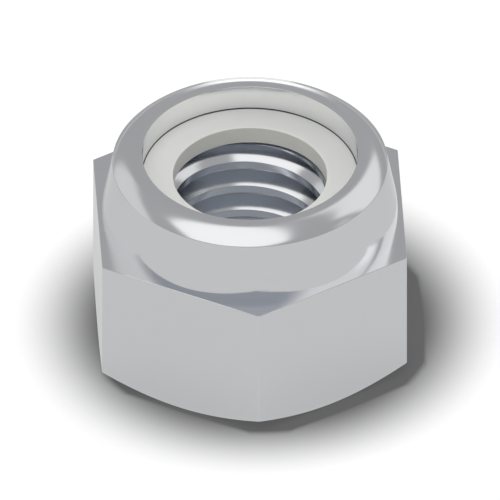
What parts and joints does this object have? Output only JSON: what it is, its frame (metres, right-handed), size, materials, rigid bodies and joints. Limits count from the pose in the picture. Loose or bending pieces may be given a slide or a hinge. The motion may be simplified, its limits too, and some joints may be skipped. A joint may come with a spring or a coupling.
{
  "type": "nylon insert lock nut",
  "caption": "Hexagon lock nut with a round collar whose rolled rim holds a nylon ring that grips the bolt's thread.",
  "frame": {"origin": "centre of the round bearing face under the hexagon", "axes": "+Z along the thread's axis, up through the collar; two opposite flats of the hexagon face -X and +X"},
  "size_m": [0.01, 0.0116, 0.0072],
  "materials": {
    "plated_steel": "smooth bright zinc plating over turned and pressed steel",
    "nylon": "natural off-white polyamide, satin"
  },
  "bodies": {
    "root": {"nut_body": "plated_steel", "nylon_insert": "nylon"}
  },
  "joints": []
}
